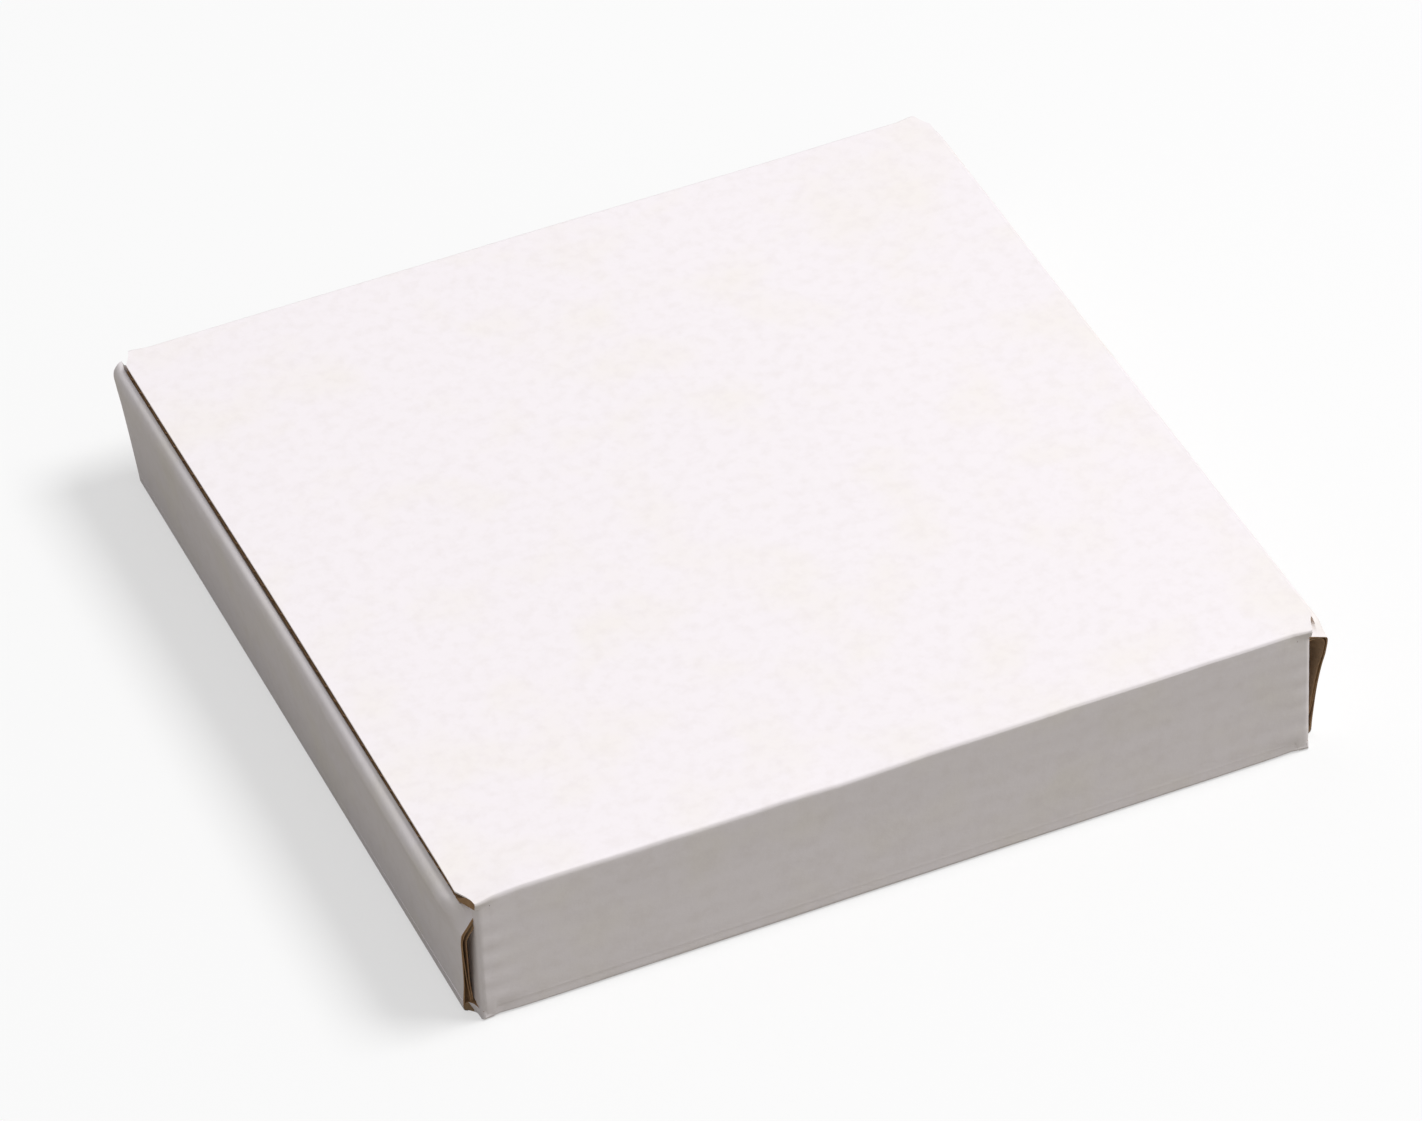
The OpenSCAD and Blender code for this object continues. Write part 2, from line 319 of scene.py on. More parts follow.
# Extra cuts, along X beside the dust folds, and in from the outer skin and from the long folds' turns
DUST_CUTS = (61.2, 58.6, 57.4, 56.2)
SKIN_CUT = 0.5
TURN_CUTS = (0.3, 1.2)
# Waves of the top panel: size, turn for each mm along X and along Y, and shift
TOP_WAVES = [(0.07, 0.055, 0.021, 0.6), (0.05, -0.034, 0.062, 2.1), (0.035, 0.11, 0.048, 4.0)]
# The top's own shape starts this far below its face, and is all there this much higher
TOP_DEPTH = 6
TOP_FADE = 4.4
# The share of those waves that is lost towards both ends, from where, and over what length
TOP_HELD = 0.75
TOP_HELD_FROM = 40
TOP_HELD_FADE = 12
# Waves of the near top fold: size, turn for each mm along X, and shift
FOLD_WAVES = [(0.08, 0.16, 0.4), (0.055, 0.31, 2.6), (0.03, 0.62, 1.2)]
# Dents of the near top fold: place along X, depth and half length
FOLD_DENTS = [(-8.5, 0.34, 7.0), (26.0, 0.12, 9.0), (-66.0, 0.32, 8.0)]
FOLD_DENT_REACH = 4.5
# The share of a dent that shows in the side panel under it
DENT_IN_WALL = 0.15
# The side panels' own shape: how far in from the skin it starts, its fade, and its fade from the top
WALL_DEPTH = 3
WALL_FADE = 1.2
WALL_TOP_FADE = 10
# The side panels sink in away from the dust folds, and more at the foot beside each fold
SIDE_SINK = 0.12
SIDE_SINK_REACH = 4.5
FOOT_SINK = 0.35
FOOT_HEIGHT = 3.5
FOOT_REACH = 3
# The flutes tell as ripples beside the dust folds, weaker at the right end and fading in above the foot
RIPPLE = 0.045
RIPPLE_REACH = 2.4
RIPPLE_AT_RIGHT = 0.6
RIPPLE_FADE = 3
FOLD_SQUARENESS = 0.25
# How far the turned corners of the dust folds reach down and up beside the long folds
CORNER_DOWN = 1.6
CORNER_UP = 0.9
# Where that reach starts, below and above, the height it takes, and how it fades along X and Y
CORNER_LOW = 3.4
CORNER_LOW_FADE = 1.6
CORNER_HIGH = 18.6
CORNER_HIGH_FADE = 1.7
CORNER_FADE = (0.4, 0.7)
# How far the top panel's left end stands out at the far corner, and in at its middle
END_OUT_FAR = 0.3
END_IN_MIDDLE = 0.1
# Where that starts along X, its length, and its places and widths across the box
END_FROM = 50
END_FADE = 13
END_OUT_WIDTH = 60
END_MIDDLE = -5
END_MIDDLE_WIDTH = 30
# The dust flaps bow outwards towards their free edges, between the two panels
DUST_FLAP_BOW = 0.9
DUST_FLAP_LENGTH = 45
DUST_FLAP_FROM = 60.2
DUST_FLAP_TOP = 20.55


def stations(half, cell, extra=()):
    """Places from -half to half about a cell apart, with some extra ones on both sides."""
    count = max(2, round(2 * half / cell))
    even = np.round(np.linspace(-half, half, count + 1)[1:-1], 4)
    return sorted(set(even) | {s * e for e in extra for s in (-1, 1)})


def outer_distance(across_box, height):
    """Distance from the sleeve's outer skin in its section, in mm, negative inside."""
    y = np.abs(across_box) - (HALF_W - LONG_FOLD_R)
    z = np.abs(height - HEIGHT / 2) - (HEIGHT / 2 - LONG_FOLD_R)
    outside = np.hypot(np.maximum(y, 0), np.maximum(z, 0))
    return outside + np.minimum(np.maximum(y, z), 0) - LONG_FOLD_R


def round_the_sleeve(points):
    """How far each point is round the sleeve from the middle of the top, which is across its flutes."""
    y, z = np.abs(points[:, 1]), points[:, 2]
    flat = HALF_W - LONG_FOLD_R
    arc = math.pi / 2 * LONG_FOLD_R
    side = flat + arc + np.clip(HEIGHT - LONG_FOLD_R - z, 0, HEIGHT - 2 * LONG_FOLD_R)
    top_turn = flat + LONG_FOLD_R * np.arctan2(y - flat, np.maximum(z - HEIGHT + LONG_FOLD_R, 1e-3))
    top = np.where(y > flat, top_turn, y)
    bottom = flat + 2 * arc + HEIGHT - 2 * LONG_FOLD_R + (flat - np.minimum(y, flat))
    return np.where(z > HEIGHT - LONG_FOLD_R, top, np.where(z < LONG_FOLD_R, bottom, side))


def squared(moved, points, first, second, first_edge, second_edge, radius):
    """Draws a fold's corner out towards the square, in the plane of two axes, but not past its faces."""
    a, b = np.abs(points[:, first]), points[:, second]
    b = b if second == 2 else np.abs(b)
    turn_a, turn_b = np.maximum(a - first_edge + radius, 0), np.maximum(b - second_edge + radius, 0)
    more = FOLD_SQUARENESS * np.sin(2 * np.arctan2(turn_b, turn_a + 1e-9)) ** 2
    moved[:, first] += np.sign(points[:, first]) * np.minimum(more * turn_a, np.maximum(first_edge - a, 0))
    side = 1 if second == 2 else np.sign(points[:, second])
    moved[:, second] += side * np.minimum(more * turn_b, np.maximum(second_edge - b, 0))


def worn(points):
    """The sleeve's points moved by its bows, waves, dents and ripples, in mm."""
    x, y, z = points.T
    moved = points.copy()
    top = ease((z - (HEIGHT - TOP_DEPTH)) / TOP_FADE)
    loose = 1 - TOP_HELD * ease((np.abs(x) - TOP_HELD_FROM) / TOP_HELD_FADE)
    wave = sum(size * np.sin(kx * x + ky * y + shift) for size, kx, ky, shift in TOP_WAVES)
    near_fold = np.exp(-((y + HALF_W) / FOLD_DENT_REACH) ** 2)
    dent = sum(deep * np.exp(-((x - at) / half) ** 2) for at, deep, half in FOLD_DENTS)
    dent = dent + sum(size * np.sin(k * x + shift) for size, k, shift in FOLD_WAVES)
    moved[:, 2] += top * (loose * wave - near_fold * dent)
    walls = ease((np.abs(y) - (HALF_W - WALL_DEPTH)) / WALL_FADE)
    height_share = ease((HEIGHT - z) / WALL_TOP_FADE)
    from_fold = np.maximum(dust_turn[0] - np.abs(x), 0)
    low_end = FOOT_SINK * ease((FOOT_HEIGHT - z) / FOOT_HEIGHT) * np.exp(-from_fold / FOOT_REACH)
    side_sunk = SIDE_SINK * (1 - np.exp(-from_fold / SIDE_SINK_REACH))
    sunk = side_sunk + DENT_IN_WALL * dent * near_fold + low_end
    ripple = RIPPLE * np.cos(2 * math.pi * z / FLUTE_PITCH) * np.exp(-(from_fold / RIPPLE_REACH) ** 2)
    ripple *= ease(z / RIPPLE_FADE) * np.where(x < 0, 1, RIPPLE_AT_RIGHT)
    moved[:, 1] -= np.sign(y) * walls * height_share * (sunk - ripple)
    # The long folds at the top, those at the bottom with the sleeve turned over, then the dust folds
    squared(moved, points, 1, 2, HALF_W, HEIGHT, LONG_FOLD_R)
    upside_down = np.column_stack([x, y, HEIGHT - z])
    moved[:, 2] = HEIGHT - moved[:, 2]
    squared(moved, upside_down, 1, 2, HALF_W, HEIGHT, LONG_FOLD_R)
    moved[:, 2] = HEIGHT - moved[:, 2]
    squared(moved, points, 0, 1, DUST_X, HALF_W, DUST_FOLD_R)
    corner = ease((np.abs(x) - dust_turn[0]) / CORNER_FADE[0])
    corner = corner * ease((np.abs(y) - dust_turn[1]) / CORNER_FADE[1])
    fold_only = (z > LONG_FOLD_R - 0.01) & (z < HEIGHT - LONG_FOLD_R + 0.01)
    up = CORNER_UP * ease((z - CORNER_HIGH) / CORNER_HIGH_FADE)
    down = CORNER_DOWN * ease((CORNER_LOW - z) / CORNER_LOW_FADE)
    moved[:, 2] += corner * fold_only * (up - down)
    left_end = ease((-x - END_FROM) / END_FADE) * top
    out_far = END_OUT_FAR * ease(y / END_OUT_WIDTH)
    in_middle = END_IN_MIDDLE * np.exp(-((y - END_MIDDLE) / END_MIDDLE_WIDTH) ** 2)
    moved[:, 0] -= left_end * (out_far - in_middle)
    inward = np.clip((dust_turn[1] - np.abs(y)) / DUST_FLAP_LENGTH, 0, 1) ** 2
    flap = ease((np.abs(x) - DUST_FLAP_FROM) / 0.2)
    flap = flap * ease((z - BOARD_T) / 0.15) * ease((DUST_FLAP_TOP - z) / 0.5)
    moved[:, 0] -= np.sign(x) * DUST_FLAP_BOW * inward * flap
    return moved


shape = bmesh.new()
shape.from_mesh(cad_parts["tube"].data)
bmesh.ops.remove_doubles(shape, verts=shape.verts, dist=0.002 * MM)
fold_edges = [HALF_W - SKIN_CUT, *(HALF_W - LONG_FOLD_R - cut for cut in TURN_CUTS)]
cuts = [
    (0, stations(PANEL_END, CELL, DUST_CUTS)),
    (1, stations(HALF_W, CELL, fold_edges)),
    (2, [*np.arange(LONG_FOLD_R + FINE_CELL, HEIGHT - BOARD_T - 0.1, FINE_CELL), HEIGHT - LINER_T]),
]
for axis, places in cuts:
    facing = [0, 0, 0]
    facing[axis] = 1
    for place in places:
        at = [0, 0, 0]
        at[axis] = place * MM
        everything = shape.verts[:] + shape.edges[:] + shape.faces[:]
        bmesh.ops.bisect_plane(shape, geom=everything, dist=0.001 * MM, plane_co=at, plane_no=facing)
shape.verts.index_update()
shape.normal_update()
points = np.array([v.co for v in shape.verts]) / MM
faces = [[v.index for v in f.verts] for f in shape.faces]
middles = np.array([f.calc_center_median() for f in shape.faces]) / MM
normals = np.array([f.normal for f in shape.faces])
shape.free()

# White is the outer skin and the outside of the dust flaps, and brown what faces the inside.
# All the rest is cut board. A face is on a flat or on the round skin within these distances.
ON_FLAT = 0.02
ON_SKIN = 0.05
FACING = 0.9
PARTLY_FACING = 0.5
skin = np.abs(outer_distance(middles[:, 1], middles[:, 2])) < ON_SKIN
skin &= np.abs(normals[:, 0]) < PARTLY_FACING
from_turn = np.abs(middles[:, :2]) - dust_turn
turned = (np.hypot(from_turn[:, 0], from_turn[:, 1]) > DUST_FOLD_R - 0.08) & (from_turn.min(1) > -ON_SKIN)
faces_out = normals[:, 0] * np.sign(middles[:, 0]) > FACING
flat_outside = (np.abs(np.abs(middles[:, 0]) - DUST_X) < ON_FLAT) & faces_out
upright = np.abs(normals[:, 2]) < PARTLY_FACING
dust_skin = (turned | flat_outside) & upright & (middles[:, 2] > BOARD_T) & (middles[:, 2] < HEIGHT - BOARD_T)
in_top = middles[:, 2] > HEIGHT - BOARD_T + ON_FLAT
ends = np.abs(normals[:, 0]) > FACING
kinds = np.where(skin | dust_skin, WHITE, np.where(in_top | ends | ~upright, CUT, BROWN))
inner_floor = (np.abs(normals[:, 2]) > FACING) & (np.abs(middles[:, 0]) < DUST_X - BOARD_T)
on_bottom = np.abs(middles[:, 2] - BOARD_T) < ON_FLAT
under_top = np.abs(middles[:, 2] - (HEIGHT - BOARD_T)) < ON_FLAT
kinds = np.where(inner_floor & (on_bottom | under_top), BROWN, kinds)
kinds = np.where(middles[:, 2] > HEIGHT - LINER_T, WHITE, kinds)
low_corner = (middles[:, 2] < BOARD_T + 0.4) & (np.abs(middles[:, 1]) > dust_turn[1] - 0.3)
kinds = np.where(low_corner & (normals[:, 2] < PARTLY_FACING), WHITE, kinds)

tube = board_piece("sleeve", worn(points), faces, kinds, round_the_sleeve(points))
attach(tube, "tube")
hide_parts("tube")

# The end flaps.
# Each is one piece with the bottom panel: an end panel, a rolled fold and a tuck that slides in
# under the top panel. The roll stands up just outside the top panel's cut end.
LEAN = math.radians(3.5)
HINGE_X = 62.875
HINGE_Z = BOARD_T / 2
END_HALF_W = 64.25
CREASE_HALF_W = 62.05
SHOULDER_HALF_W = 60.49
TUCK_TIP_HALF_W = 56.5
TUCK_CORNER_R = 6.0
TUCK_R = 19.6
TUCK_END_ANGLE = math.radians(135.0)
TUCK_LENGTH = 15.0
PANEL_ROWS = 10
FOLD_ROWS = 26
TUCK_ROWS = 20
# Heights above the hinge at which the panel and its fold start, the fold ends, and the flap is at its widest
PANEL_START = 0.3
FOLD_START = 13.2
FOLD_END = 22
WIDEST_HEIGHT = 15.5
panel_heights = np.linspace(PANEL_START, FOLD_START, PANEL_ROWS, endpoint=False)
# Height by which the pressed side edges of an end panel have reached their final thickness
CRUSHED_FROM = 6.0
STEADY_HALF_W = 46.0
# Outer face of the rolled fold, outwards and upwards from the hinge line, in the panel's own lean
ROLL = [(0.775, 13.2), (0.93, 15.8), (1.0, 17.6), (0.95, 18.7), (0.75, 19.42), (0.45, 19.85), (0.1, 20.12),
        (-0.3, 20.28), (-0.52, 20.15), (-0.56, 19.85), (-0.7, 19.66), (-1.1, 19.57), (-1.92, 19.51)]
# The same towards the left flap's near end, where the roll is broader
BROAD_ROLL = [(0.775, 13.2), (1.02, 15.8), (1.32, 17.2), (1.46, 18.0), (1.44, 18.6), (1.26, 19.1),
              (0.9, 19.62), (0.45, 20.0), (0.0, 20.2), (-0.35, 20.3), (-0.52, 20.15), (-0.56, 19.85),
              (-0.7, 19.66), (-1.1, 19.57), (-1.92, 19.51)]
# How far nearer than the middle the roll starts to broaden, and over what length
BROAD_FROM = 5
BROAD_OVER = 45
# The same at a side edge where the roll is bent down, pinched to a point, or left as it is
BENT_DOWN = [(0.46, 13.2), (0.42, 14.3), (0.28, 15.1), (-0.2, 15.75), (-0.8, 16.45), (-1.35, 17.15),
             (-1.85, 17.75)]
PINCHED = [(0.90, 13.2), (0.98, 16.6), (0.96, 17.8), (0.70, 18.15), (-0.4, 18.55), (-1.89, 19.05)]
SQUARE = [(0.775, 13.2), (0.86, 16.6), (0.92, 18.2), (0.74, 19.2), (0.35, 19.85), (-0.1, 20.3), (-0.55, 20.6),
          (-0.76, 20.4), (-0.78, 19.95), (-0.88, 19.68), (-1.2, 19.57), (-1.92, 19.51)]
# Inner face of the fold in the middle, at a side edge that is pinched, and at one that is bent down
ROLL_INSIDE = [(-0.775, 13.2), (-0.775, 16.9), (-0.9, 17.5), (-1.25, 17.85), (-1.7, 17.98), (-2.3, 17.93)]
PINCHED_INSIDE = [(0.32, 13.2), (0.45, 16.4), (0.42, 17.35), (0.1, 18.0), (-0.9, 18.35), (-2.3, 18.25)]
BENT_INSIDE = [(-0.38, 13.2), (-0.45, 13.9), (-0.75, 14.6), (-1.3, 15.3), (-1.8, 15.9), (-2.3, 16.4)]
# How far in from a side edge its own section reaches, at the tuck, and how much more low on the panel
EDGE_REACH = 3.3
EDGE_REACH_LOW = 9.7
# How sharply it takes over, low on the panel, and how much more sharply at the tuck
EDGE_POWER = 1.3
EDGE_POWER_MORE = 2.7
# Waves along the roll's crest: size, turn for each mm, shift, and shift by side
CREST_WAVES = [(0.05, 0.13, 1, 1), (0.03, 0.31, 0, 2.2)]
# Rows of points across a liner and across a medium, in the steady middle and towards each edge
LINER_COLUMNS = (31, 26)
MEDIUM_COLUMNS = (108, 44)
# Height by which an end panel's lean is all there, and the twist and belly of the left one
LEAN_HEIGHT = 17
LEFT_TWIST = 0.25
LEFT_BELLY = 0.1
LEFT_BELLY_WIDTH = 30
# How hollow the right panel is near its front edge, over what length, and how full it is beyond
RIGHT_HOLLOW = 0.5
RIGHT_HOLLOW_REACH = 18
RIGHT_BELLY = 0.12


def even_curve(knots, count):
    """A smooth curve through the knots, as count points evenly spaced along it."""
    knots = np.array(knots, float)
    padded = np.vstack([2 * knots[0] - knots[1], knots, 2 * knots[-1] - knots[-2]])
    t = np.linspace(0, 1, 24, endpoint=False)[:, None]
    parts = []
    for a, b, c, d in zip(padded, padded[1:], padded[2:], padded[3:]):
        parts.append(0.5 * (2 * b + (c - a) * t + (2 * a - 5 * b + 4 * c - d) * t ** 2
                            + (3 * b - a - 3 * c + d) * t ** 3))
    dense = np.vstack(parts + [knots[-1:]])
    travelled = np.concatenate([[0], np.cumsum(np.hypot(*np.diff(dense, axis=0).T))])
    wanted = np.linspace(0, travelled[-1], count)
    return np.column_stack([np.interp(wanted, travelled, dense[:, k]) for k in (0, 1)])


def flap_rows(fold_outside, fold_inside):
    """Outer and inner face of an end flap's section, row by row from the crease to the tuck's tip."""
    sides = []
    for knots, face, radius in ((fold_outside, 0.5, TUCK_R), (fold_inside, -0.5, TUCK_R - BOARD_T)):
        fold = even_curve(knots, FOLD_ROWS)
        reach = ease(panel_heights / CRUSHED_FROM)
        panel = np.column_stack([face * BOARD_T * (1 - reach) + fold[0, 0] * reach, panel_heights])
        start = math.atan2(fold[-1, 1], fold[-1, 0])
        angles = np.linspace(start + 0.003, TUCK_END_ANGLE, TUCK_ROWS)
        tuck = radius * np.column_stack([np.cos(angles), np.sin(angles)])
        sides.append(np.vstack([panel, fold, tuck]))
    return sides


def half_widths():
    """Half width of an end flap at each row."""
    heights = np.concatenate([panel_heights, np.linspace(FOLD_START, FOLD_END, FOLD_ROWS)])
    widening = CREASE_HALF_W + (END_HALF_W - CREASE_HALF_W) * heights / WIDEST_HEIGHT
    share = np.linspace(0, 1, TUCK_ROWS)
    sides = SHOULDER_HALF_W + (TUCK_TIP_HALF_W - SHOULDER_HALF_W) * share
    from_tip = TUCK_LENGTH * (1 - share)
    short = np.maximum(TUCK_CORNER_R - from_tip, 0)
    rounding = TUCK_CORNER_R - np.sqrt(np.maximum(TUCK_CORNER_R ** 2 - short ** 2, 0))
    return np.concatenate([np.minimum(widening, END_HALF_W), sides - rounding])


def columns(steady, edge):
    """Places across the flap from 0 to 1 to 2: steady ones in the middle, then ones that follow its edge."""
    half = np.concatenate([np.linspace(0, 1, steady, endpoint=False), 1 + np.linspace(0, 1, edge)])
    return np.concatenate([-half[:0:-1], half])


def flap_grid(side, near, far, lean_by, steady, edge):
    """Outer and inner face of an end flap as grids of points in mm, and its place across the flutes."""
    middle_rows = flap_rows(ROLL, ROLL_INSIDE)
    broad_rows = flap_rows(BROAD_ROLL, ROLL_INSIDE)
    end_rows = {-1: flap_rows(*near), 1: flap_rows(*far)}
    width = half_widths()[:, None]
    t = columns(steady, edge)[None, :]
    y = np.sign(t) * (STEADY_HALF_W * np.minimum(np.abs(t), 1)
                      + (width - STEADY_HALF_W) * np.maximum(np.abs(t) - 1, 0))
    row = np.arange(len(width))
    in_fold = np.clip((row - PANEL_ROWS) / FOLD_ROWS, 0, 1)
    length = (EDGE_REACH + EDGE_REACH_LOW * (1 - in_fold) ** 2)[:, None]
    power = (EDGE_POWER + EDGE_POWER_MORE * in_fold)[:, None]
    share = ease(1 - (END_HALF_W - np.abs(y)) / length) ** power
    share = np.where((row < PANEL_ROWS + FOLD_ROWS)[:, None], share, 0)
    crest = sum(size * np.sin(k * y + shift + by_side * side) for size, k, shift, by_side in CREST_WAVES)
    crest_starts = ease((in_fold - 0.1) / 0.3)[:, None]
    crest_ends = ease((0.8 - in_fold) / 0.2)[:, None]
    grids = []
    broad = (ease((-y - BROAD_FROM) / BROAD_OVER) * (side < 0))[..., None]
    for face, middle in enumerate(middle_rows):
        ends = np.where((y < 0)[..., None], end_rows[-1][face][:, None, :], end_rows[1][face][:, None, :])
        steady_part = middle[:, None, :] * (1 - broad) + broad_rows[face][:, None, :] * broad
        profile = steady_part * (1 - share[..., None]) + ends * share[..., None]
        u = profile[..., 0] + lean_by(y, profile[..., 1])
        v = profile[..., 1] + crest * crest_starts * crest_ends
        x = HINGE_X + u * math.cos(LEAN) + v * math.sin(LEAN)
        z = HINGE_Z - u * math.sin(LEAN) + v * math.cos(LEAN)
        grids.append(np.stack([side * x, y, z], axis=-1))
    return grids[0], grids[1], y


def grid_quads(rows, cols):
    """The numbers of a grid's points, and the quads between them."""
    index = np.arange(rows * cols).reshape(rows, cols)
    quads = np.stack([index[:-1, :-1], index[:-1, 1:], index[1:, 1:], index[1:, :-1]], axis=-1)
    return index, quads.reshape(-1, 4)


def slab(top, bottom):
    """Points and faces of a thin slab between two grids. Its first faces are the top, then the bottom."""
    rows, cols = top.shape[:2]
    index, quads = grid_quads(rows, cols)
    rim = np.concatenate([index[0, :-1], index[:-1, -1], index[-1, :0:-1], index[:0:-1, 0]])
    after = np.roll(rim, -1)
    below = rows * cols
    edges = np.stack([after, rim, rim + below, after + below], axis=-1)
    points = np.concatenate([top.reshape(-1, 3), bottom.reshape(-1, 3)])
    return points, np.concatenate([quads, quads[:, ::-1] + below, edges]), len(quads)


def lean_of_left(y, v):
    """The left end panel is twisted: less upright at its far end than at its near one."""
    tall = np.clip(v / LEAN_HEIGHT, 0, 1.2)
    belly = LEFT_BELLY * np.cos(y / LEFT_BELLY_WIDTH) * np.sin(math.pi * np.minimum(tall, 1))
    return LEFT_TWIST * y / END_HALF_W * tall + belly


def lean_of_right(y, v):
    """The right end panel is hollow near its front edge, where the roll pulls it outwards."""
    near = np.exp(-(y + END_HALF_W) / RIGHT_HOLLOW_REACH)
    hollow = np.sin(np.clip(v / LEAN_HEIGHT, 0, 1) * math.pi)
    return -RIGHT_HOLLOW * near * hollow + RIGHT_BELLY * (1 - near) * hollow


ends_built = {
    "left_end_flap": (-1, (BENT_DOWN, BENT_INSIDE), (SQUARE, ROLL_INSIDE), lean_of_left),
    "right_end_flap": (1, (PINCHED, PINCHED_INSIDE), (PINCHED, PINCHED_INSIDE), lean_of_right),
}


def fluted_medium_tree():
    """Geometry Nodes that wave a sheet across the board and give the wave its paper's thickness."""
    tree = bpy.data.node_groups.new("fluted_medium", "GeometryNodeTree")
    kinds_of_input = [("Geometry", "Geometry"), ("Flute pitch", "Float"), ("Rise", "Float"),
                      ("Half thickness", "Float"), ("Paper", "Material")]
    for label, kind in kinds_of_input:
        tree.interface.new_socket(label, in_out="INPUT", socket_type=f"NodeSocket{kind}")
    tree.interface.new_socket("Geometry", in_out="OUTPUT", socket_type="NodeSocketGeometry")
    given = tree.nodes.new("NodeGroupInput").outputs
    named = add(tree, "GeometryNodeInputNamedAttribute", {"Name": "through"}, data_type="FLOAT_VECTOR")
    through = named.outputs[0]
    place = add(tree, "ShaderNodeSeparateXYZ", {0: tree.nodes.new("GeometryNodeInputPosition").outputs[0]})
    turns = add(tree, "ShaderNodeMath", {0: place.outputs["Y"], 1: given["Flute pitch"]}, operation="DIVIDE")
    angle = add(tree, "ShaderNodeMath", {0: turns.outputs[0], 1: 2 * math.pi}, operation="MULTIPLY")
    wave = add(tree, "ShaderNodeMath", {0: angle.outputs[0]}, operation="SINE")
    height = add(tree, "ShaderNodeMath", {0: wave.outputs[0], 1: given["Rise"]}, operation="MULTIPLY")
    lower = add(tree, "ShaderNodeMath", {0: height.outputs[0], 1: given["Half thickness"]},
                operation="SUBTRACT")
    offset = add(tree, "ShaderNodeVectorMath", {0: through, "Scale": lower.outputs[0]}, operation="SCALE")
    waved = add(tree, "GeometryNodeSetPosition", {"Geometry": given["Geometry"], "Offset": offset.outputs[0]})
    full = add(tree, "ShaderNodeMath", {0: given["Half thickness"], 1: 2.0}, operation="MULTIPLY")
    raised_by = add(tree, "ShaderNodeVectorMath", {0: through, "Scale": full.outputs[0]}, operation="SCALE")
    raised = add(tree, "GeometryNodeExtrudeMesh",
                 {"Mesh": waved.outputs[0], "Offset": raised_by.outputs[0], "Offset Scale": 1.0,
                  "Individual": False})
    base = add(tree, "GeometryNodeFlipFaces", {"Mesh": waved.outputs[0]})
    both = tree.nodes.new("GeometryNodeJoinGeometry")
    tree.links.new(raised.outputs[0], both.inputs[0])
    tree.links.new(base.outputs[0], both.inputs[0])
    closed = add(tree, "GeometryNodeMergeByDistance", {"Geometry": both.outputs[0], "Distance": 0.001 * MM})
    real = add(tree, "GeometryNodeRealizeInstances", {"Geometry": closed.outputs[0]})
    papered = add(tree, "GeometryNodeSetMaterial", {"Geometry": real.outputs[0], "Material": given["Paper"]})
    add(tree, "NodeGroupOutput", {"Geometry": papered.outputs[0]})
    return tree


medium_tree = fluted_medium_tree()
medium_sockets = medium_tree.interface.items_tree
medium_inputs = {item.name: item.identifier for item in medium_sockets if item.in_out == "INPUT"}
MEDIUM_SETTINGS = {
    "Flute pitch": FLUTE_PITCH * MM,
    "Rise": (BOARD_T - 2 * LINER_T - MEDIUM_T) / 2 / BOARD_T,
    "Half thickness": MEDIUM_T / 2 / BOARD_T,
    "Paper": papers[CUT],
}


def medium_piece(name, outer, inner):
    """The fluted medium between two faces of the board, as a plain mesh."""
    rows, cols = outer.shape[:2]
    quads = grid_quads(rows, cols)[1]
    middle =((outer + inner) / 2 * MM).reshape(-1, 3)
    across = np.cross(middle[1] - middle[0], middle[cols] - middle[0])
    if np.dot(across, (outer - inner)[0, 0]) < 0:
        quads = quads[:, ::-1]
    sheet = bpy.data.meshes.new(name)
    sheet.from_pydata(middle.tolist(), [], quads.tolist())
    through = ((outer - inner) * MM).reshape(-1).astype(np.float32)
    sheet.attributes.new("through", "FLOAT_VECTOR", "POINT").data.foreach_set("vector", through)
    piece = bpy.data.objects.new(name, sheet)
    bpy.context.scene.collection.objects.link(piece)
    nodes = piece.modifiers.new("flutes", "NODES")
    nodes.node_group = medium_tree
    for label, value in MEDIUM_SETTINGS.items():
        nodes[medium_inputs[label]] = value
    seen_as = bpy.context.evaluated_depsgraph_get()
    piece.data = bpy.data.meshes.new_from_object(piece.evaluated_get(seen_as))
    piece.modifiers.clear()
    shade_board(piece.data)
    return piece


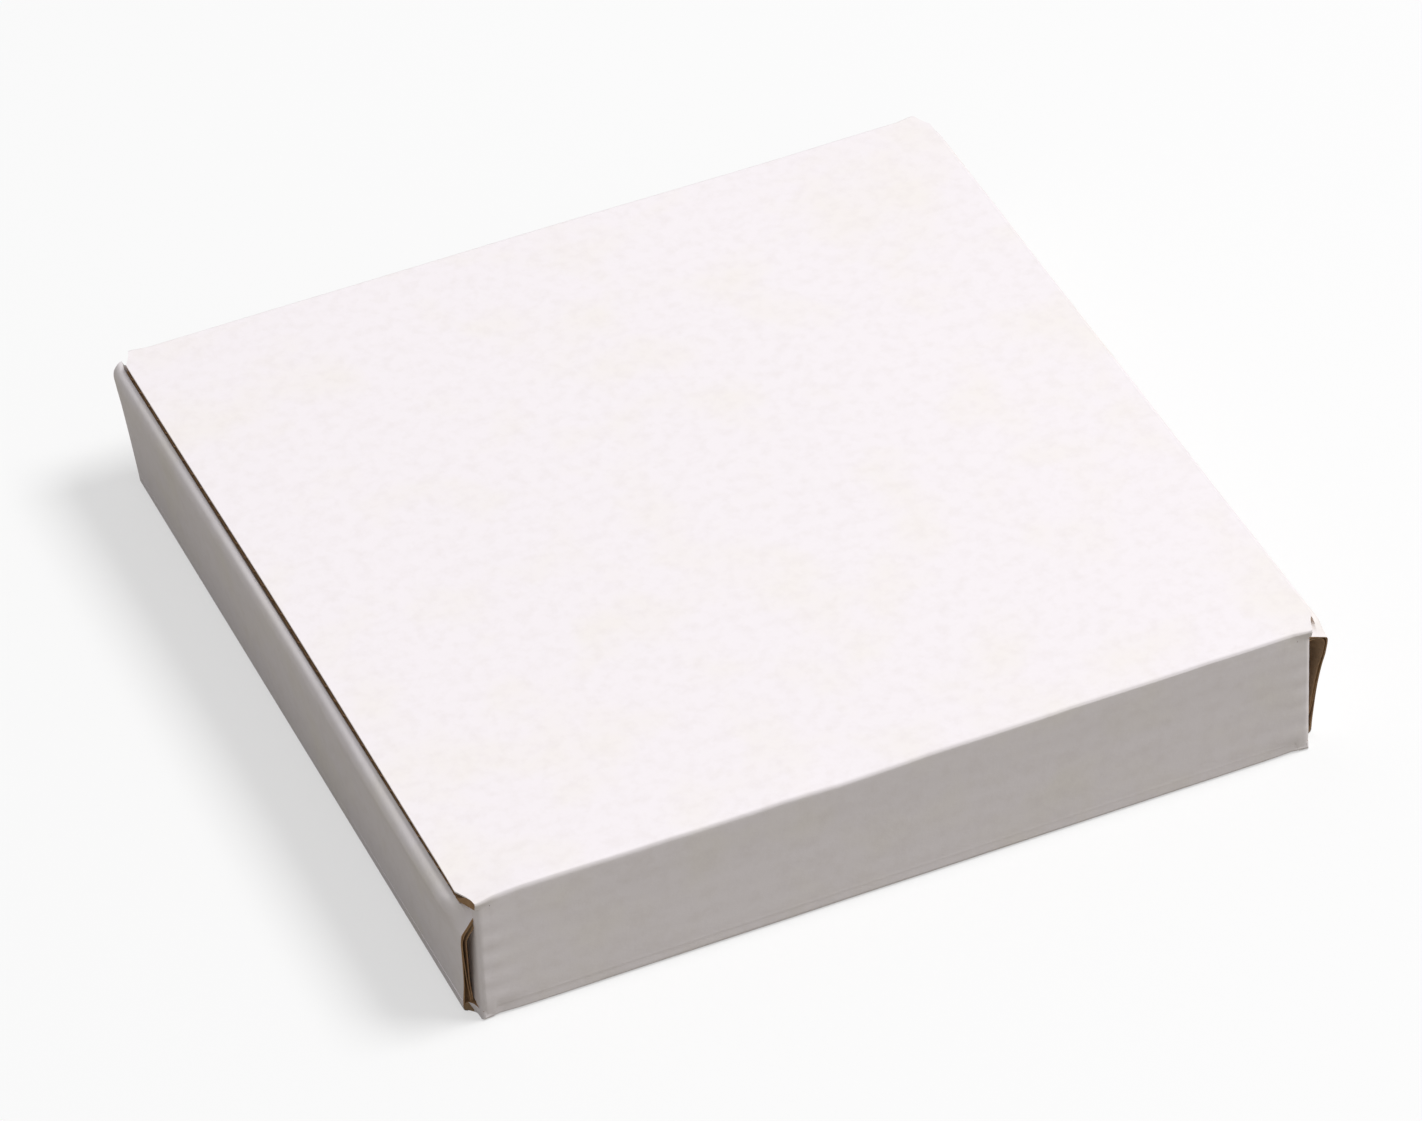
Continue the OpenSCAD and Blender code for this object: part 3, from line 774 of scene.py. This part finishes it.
liner_share = LINER_T / BOARD_T
for body, (side, near, far, lean_by) in ends_built.items():
    outer, inner, y = flap_grid(side, near, far, lean_by, *LINER_COLUMNS)
    all_points, all_faces, all_kinds = [], [], []
    count = 0
    for low, high, face_kinds in ((1 - liner_share, 1, (WHITE, BROWN)), (0, liner_share, (BROWN, BROWN))):
        top = inner + (outer - inner) * high
        bottom = inner + (outer - inner) * low
        slab_points, slab_faces, broad = slab(top, bottom)
        kinds = np.full(len(slab_faces), CUT)
        kinds[:broad] = face_kinds[0]
        kinds[broad:2 * broad] = face_kinds[1]
        if side < 0:
            slab_faces = slab_faces[:, ::-1]
        all_points.append(slab_points)
        all_faces.append(slab_faces + count)
        all_kinds.append(kinds)
        count += len(slab_points)
    liners = board_piece(f"{body}_liners", np.concatenate(all_points), np.concatenate(all_faces).tolist(),
                         np.concatenate(all_kinds), np.tile(y.reshape(-1), 4))
    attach(liners, body)
    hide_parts(body)
    fine_grids = flap_grid(side, near, far, lean_by, *MEDIUM_COLUMNS)
    medium = medium_piece(f"{body}_medium", *fine_grids[:2])
    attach(medium, body)

# The creases.
# The white liner runs on unbroken from the bottom panel round the scored line into each end panel.
# A narrow strip of it is drawn round that bend.
CREASE_ROWS = 14
CREASE_PROUD = 0.03
CREASE_UP_PANEL = 1.5
CREASE_UNDER_PANEL = 0.6
CREASE_T = 0.1
CREASE_COLUMNS = 60
for body, (side, *_) in ends_built.items():
    turn = np.linspace(-math.pi / 2, -LEAN, CREASE_ROWS)
    radius = BOARD_T / 2 + CREASE_PROUD * np.cos(turn)
    bend = np.column_stack([HINGE_X + radius * np.cos(turn), HINGE_Z + radius * np.sin(turn)])
    up_panel = bend[-1] + CREASE_UP_PANEL * np.array([math.sin(LEAN), math.cos(LEAN)])
    line = np.vstack([bend[0] - [CREASE_UNDER_PANEL, 0], bend, up_panel])
    round_bend = -np.column_stack([np.cos(turn), np.sin(turn)])
    inward = np.vstack([[[0, 1]], round_bend, [[-math.cos(LEAN), math.sin(LEAN)]]])
    along = np.linspace(-CREASE_HALF_W, CREASE_HALF_W, CREASE_COLUMNS)
    layers = []
    for depth in (0, CREASE_T):
        section = line + inward * depth
        x, y = np.meshgrid(side * section[:, 0], along, indexing="ij")
        layers.append(np.stack([x, y, np.broadcast_to(section[:, 1:], x.shape)], axis=-1))
    strip_points, strip_faces, _ = slab(*layers)
    if side > 0:
        strip_faces = strip_faces[:, ::-1]
    strip_kinds = np.full(len(strip_faces), WHITE)
    crease = board_piece(f"{body}_crease", strip_points, strip_faces.tolist(), strip_kinds,
                         strip_points[:, 1])
    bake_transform(crease)
